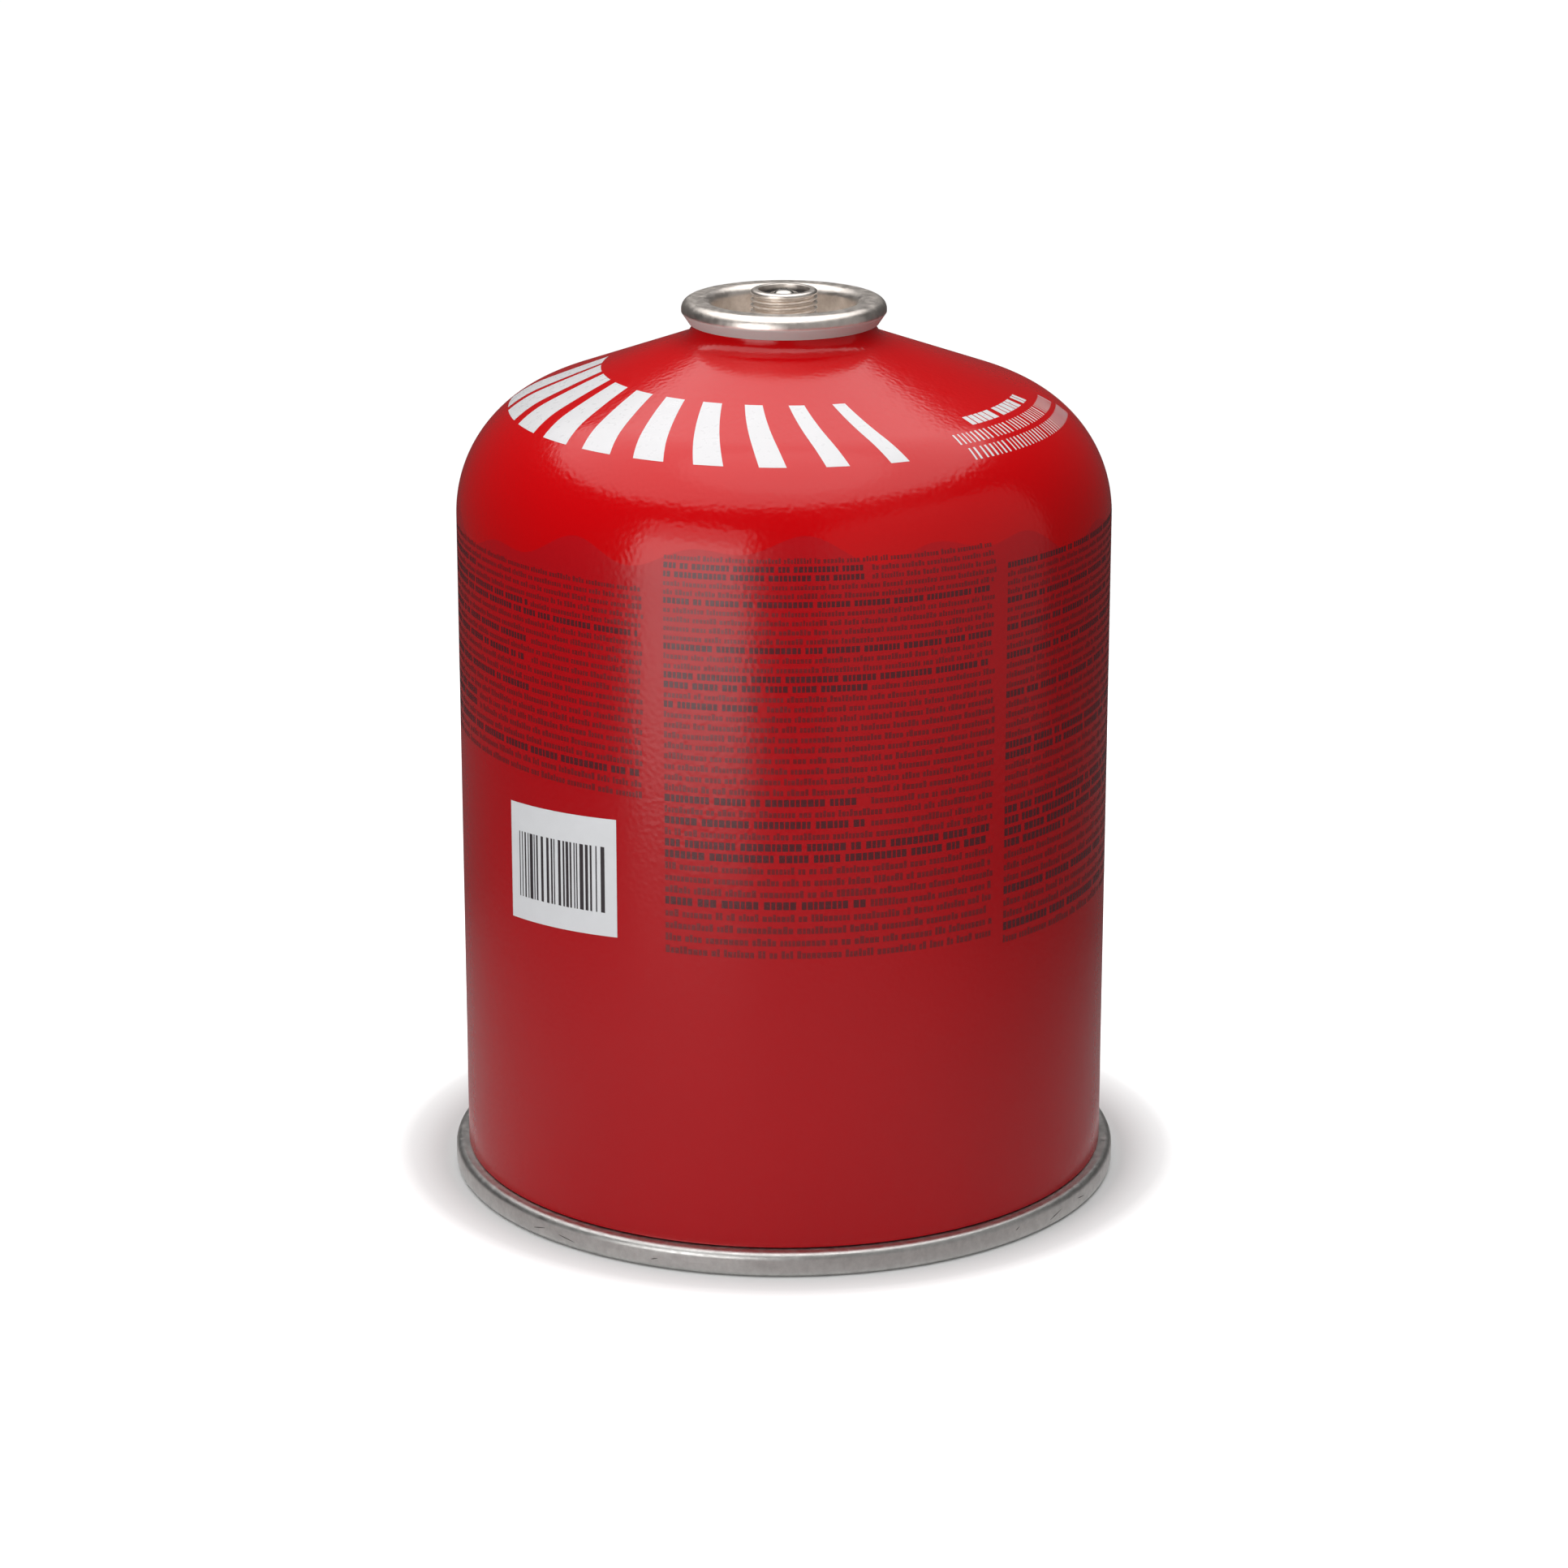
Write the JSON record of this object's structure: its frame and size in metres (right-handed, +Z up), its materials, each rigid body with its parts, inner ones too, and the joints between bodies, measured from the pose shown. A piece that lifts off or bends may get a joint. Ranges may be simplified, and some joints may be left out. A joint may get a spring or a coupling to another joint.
{
  "type": "fuel canister",
  "caption": "Upright self-sealing gas canister: red steel body with a round shoulder and cone top, crimped valve cup with a threaded boss, and a silver seamed base.",
  "frame": {"origin": "middle of the foot ring, on the ground", "axes": "+Z up along the canister's axis towards the valve; the can is round, so +X and +Y are only fixed by the printed panels, whose middle faces -Y"},
  "size_m": [0.1144, 0.1144, 0.153],
  "materials": {
    "red_lacquer": "glossy red lacquer, satin over the printed wall",
    "grey_tinplate": "dull bare tinplate with fine scratches",
    "bright_tinplate": "bright warm tinplate, slightly uneven",
    "black_rubber": "matte",
    "turned_steel": "bright turned face",
    "pale_nylon": "plain moulded"
  },
  "bodies": {
    "root": {"can_body": "red_lacquer", "base_end": "grey_tinplate", "valve_cup": "bright_tinplate", "rim_gasket": "black_rubber", "valve_seal": "black_rubber", "valve_stem": "turned_steel", "valve_housing": "pale_nylon"}
  },
  "joints": []
}
